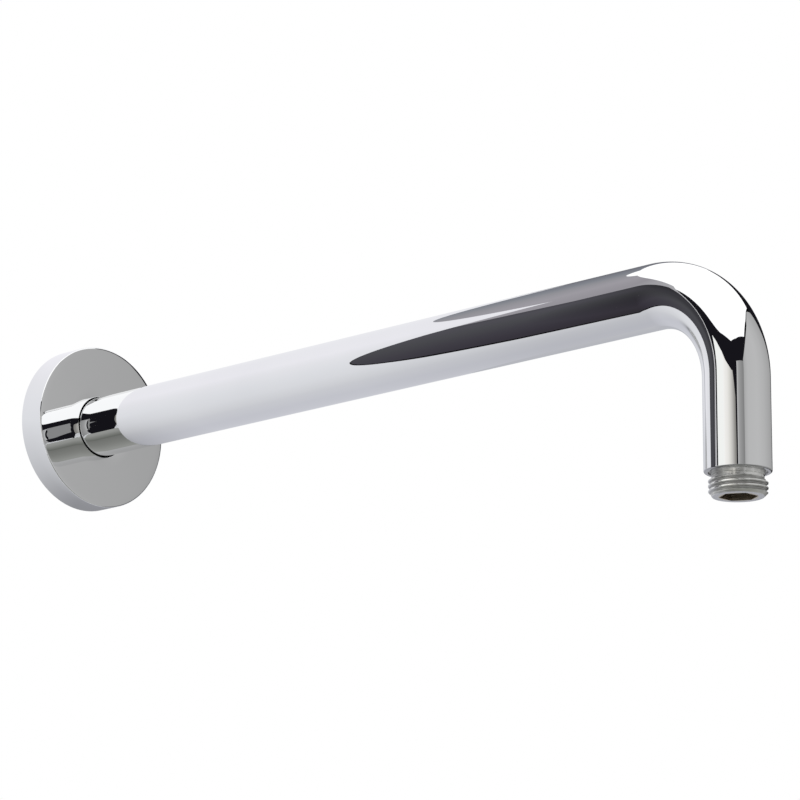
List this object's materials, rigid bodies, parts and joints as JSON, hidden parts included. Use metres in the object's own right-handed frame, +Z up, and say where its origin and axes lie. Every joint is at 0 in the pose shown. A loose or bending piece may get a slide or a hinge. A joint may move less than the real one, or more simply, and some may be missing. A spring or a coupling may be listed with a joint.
{
  "type": "shower arm",
  "caption": "Wall-mounted shower arm: a round chromed tube bent down at its outlet, with a threaded nipple at each end and a round flange that slides to the wall.",
  "frame": {"origin": "where the arm's axis meets the plane of the finished wall, at the back of the flange", "axes": "+X out of the wall along the arm, +Z up, so the outlet faces -Z; the arm is the same on both sides of the XZ plane"},
  "size_m": [0.3731, 0.066, 0.1114],
  "materials": {
    "chrome_tube": "polished chrome plate on drawn brass tube",
    "chrome_flange": "polished chrome plate on turned brass",
    "nipple_nickel": "plated brass, as turned, with the socket left bare",
    "bush_brass": "turned brass",
    "seal_rubber": "black nitrile rubber"
  },
  "bodies": {
    "arm": {"arm_tube": "chrome_tube", "inlet_bush": "bush_brass", "inlet_washer": "seal_rubber", "inlet_nipple": "nipple_nickel", "outlet_bush": "bush_brass", "outlet_washer": "seal_rubber", "outlet_nipple": "nipple_nickel"},
    "flange": {"wall_flange": "chrome_flange", "flange_ring": "seal_rubber"}
  },
  "joints": [
    {"name": "flange_slide", "type": "slide", "parent": "arm", "child": "flange", "axis": [1, 0, 0], "range_m": [0, 0.297]}
  ]
}
